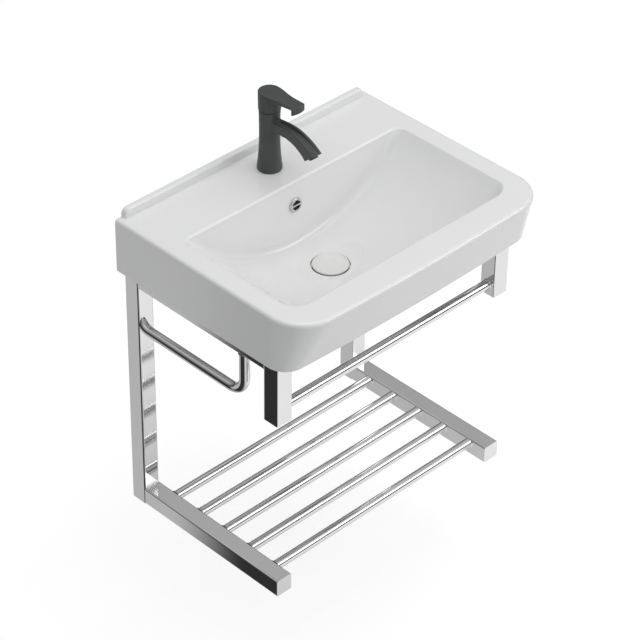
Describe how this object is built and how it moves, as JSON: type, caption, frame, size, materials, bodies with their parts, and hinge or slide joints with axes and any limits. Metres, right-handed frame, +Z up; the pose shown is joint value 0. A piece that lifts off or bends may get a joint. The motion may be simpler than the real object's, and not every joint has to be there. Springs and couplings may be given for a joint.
{
  "type": "wall-hung basin",
  "caption": "Wall-hung ceramic basin on a polished tube frame with a slatted shelf, front and side towel rails, single-lever mixer tap and push-button waste.",
  "frame": {"origin": "on the wall face, on the centre line, at the level of the basin's deck", "axes": "+X to the right along the wall, +Y into the wall, +Z up"},
  "size_m": [0.61, 0.465, 0.79],
  "materials": {
    "ceramic": "gloss",
    "polished_steel": "polished",
    "black_metal": "satin",
    "chrome": "polished",
    "white_cap": "gloss",
    "rubber": "matte",
    "brass": "satin",
    "grey_plastic": "matte",
    "zinc_plate": "satin"
  },
  "bodies": {
    "root": {"basin": "ceramic", "overflow_ring": "chrome", "waste_body": "chrome", "waste_seal": "rubber", "waste_lower_seal": "rubber", "waste_back_nut": "brass", "tap_body": "black_metal", "aerator": "black_metal", "tap_base_seal": "rubber", "tap_cartridge": "grey_plastic", "cartridge_nut": "brass", "clamp_seal": "rubber", "clamp_plate": "zinc_plate", "tap_stud": "zinc_plate", "stud_nut": "brass", "tube_end_plates": "polished_steel", "support_pads": "rubber", "front_towel_rail": "polished_steel", "left_post": "polished_steel", "left_arm": "polished_steel", "left_leg": "polished_steel", "left_shelf_rail": "polished_steel", "left_towel_rail": "polished_steel", "right_post": "polished_steel", "right_arm": "polished_steel", "right_leg": "polished_steel", "right_shelf_rail": "polished_steel", "right_towel_rail": "polished_steel", "shelf_bar_1": "polished_steel", "shelf_bar_2": "polished_steel", "shelf_bar_3": "polished_steel", "shelf_bar_4": "polished_steel", "shelf_bar_5": "polished_steel"},
    "tap_swivel": {"cartridge_carrier": "grey_plastic", "pivot_pin": "zinc_plate"},
    "tap_lever": {"tap_lever": "black_metal", "tap_spindle": "zinc_plate", "lever_grub_screw": "zinc_plate", "lever_plug": "black_metal"},
    "waste_plunger": {"waste_cap": "white_cap", "waste_stem": "brass"}
  },
  "joints": [
    {"name": "tap_turn", "type": "hinge", "parent": "root", "child": "tap_swivel", "pos_m": [0, -0.066, 0.105], "axis": [0, 0, 1], "range_deg": [-45, 45]},
    {"name": "tap_lift", "type": "hinge", "parent": "tap_swivel", "child": "tap_lever", "pos_m": [0, -0.066, 0.105], "axis": [-1, 0, 0], "range_deg": [0, 18]},
    {"name": "waste_push", "type": "slide", "parent": "root", "child": "waste_plunger", "axis": [0, 0, 1], "range_m": [0, 0.008]}
  ]
}
